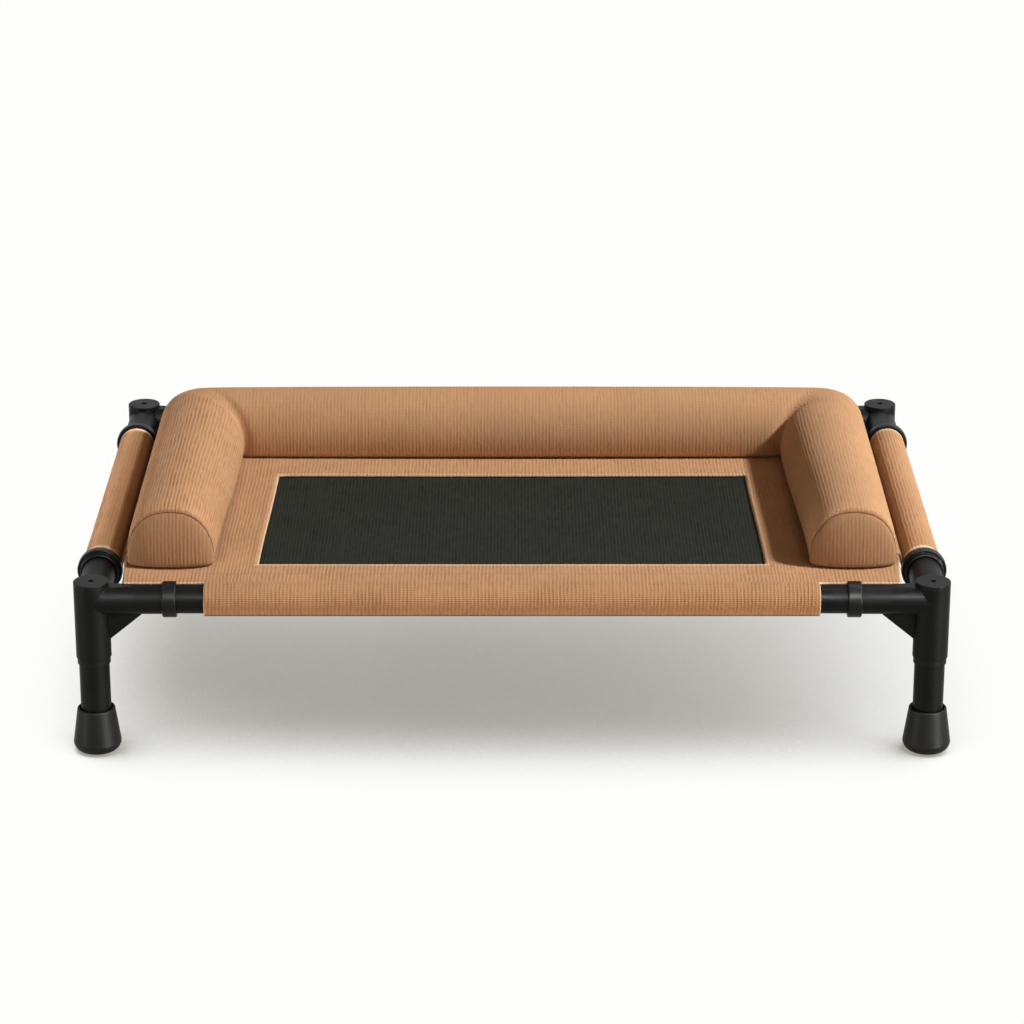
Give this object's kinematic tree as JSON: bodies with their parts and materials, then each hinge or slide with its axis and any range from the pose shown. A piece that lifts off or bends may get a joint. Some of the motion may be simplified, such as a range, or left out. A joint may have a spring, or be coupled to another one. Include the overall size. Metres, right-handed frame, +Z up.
{
  "type": "raised dog cot",
  "caption": "Raised dog cot: a black tube frame on telescopic legs with rubber feet, a tan woven deck with a dark mesh window, and a stuffed bolster round the back and ends.",
  "frame": {"origin": "on the floor, midway between the four feet", "axes": "+X along the long rails to the right seen from the open front, +Y to the back, +Z up"},
  "size_m": [0.9284, 0.6244, 0.2587],
  "materials": {
    "moulded_black": "satin",
    "coated_steel": "satin",
    "cap_black": "satin",
    "collar_black": "satin",
    "nylon_black": "satin",
    "rubber": "matte",
    "screw_steel": "blackened",
    "tan_cloth": "slubbed weave",
    "dark_mesh": "ribbed mesh",
    "fibre_fill": "loose fibre"
  },
  "bodies": {
    "frame": {"corner_fitting_front_left": "moulded_black", "post_cap_front_left": "cap_black", "guide_bush_front_left": "nylon_black", "front_rail_collar_left": "collar_black", "left_rail_collar_front": "collar_black", "corner_fitting_front_right": "moulded_black", "post_cap_front_right": "cap_black", "guide_bush_front_right": "nylon_black", "front_rail_collar_right": "collar_black", "right_rail_collar_front": "collar_black", "corner_fitting_back_left": "moulded_black", "post_cap_back_left": "cap_black", "guide_bush_back_left": "nylon_black", "back_rail_collar_left": "collar_black", "left_rail_collar_back": "collar_black", "corner_fitting_back_right": "moulded_black", "post_cap_back_right": "cap_black", "guide_bush_back_right": "nylon_black", "back_rail_collar_right": "collar_black", "right_rail_collar_back": "collar_black", "front_rail": "coated_steel", "front_sleeve": "tan_cloth", "back_rail": "coated_steel", "back_sleeve": "tan_cloth", "left_rail": "coated_steel", "left_sleeve": "tan_cloth", "right_rail": "coated_steel", "right_sleeve": "tan_cloth", "rail_screws": "screw_steel", "leg_lock_screws": "screw_steel", "deck_border": "tan_cloth", "mesh_panel": "dark_mesh", "left_bolster_cover": "tan_cloth", "left_bolster_fill": "fibre_fill", "right_bolster_cover": "tan_cloth", "right_bolster_fill": "fibre_fill", "back_bolster_cover": "tan_cloth", "back_bolster_fill": "fibre_fill", "left_bolster_end_panel": "tan_cloth", "right_bolster_end_panel": "tan_cloth"},
    "leg_front_left": {"leg_tube_front_left": "coated_steel", "leg_glide_front_left": "nylon_black", "rubber_foot_front_left": "rubber"},
    "leg_front_right": {"leg_tube_front_right": "coated_steel", "leg_glide_front_right": "nylon_black", "rubber_foot_front_right": "rubber"},
    "leg_back_left": {"leg_tube_back_left": "coated_steel", "leg_glide_back_left": "nylon_black", "rubber_foot_back_left": "rubber"},
    "leg_back_right": {"leg_tube_back_right": "coated_steel", "leg_glide_back_right": "nylon_black", "rubber_foot_back_right": "rubber"}
  },
  "joints": [
    {"name": "leg_slide_front_left", "type": "slide", "parent": "frame", "child": "leg_front_left", "axis": [0, 0, 1], "range_m": [-0.015, 0.032]},
    {"name": "leg_slide_front_right", "type": "slide", "parent": "frame", "child": "leg_front_right", "axis": [0, 0, 1], "range_m": [-0.015, 0.032]},
    {"name": "leg_slide_back_left", "type": "slide", "parent": "frame", "child": "leg_back_left", "axis": [0, 0, 1], "range_m": [-0.015, 0.032]},
    {"name": "leg_slide_back_right", "type": "slide", "parent": "frame", "child": "leg_back_right", "axis": [0, 0, 1], "range_m": [-0.015, 0.032]}
  ]
}
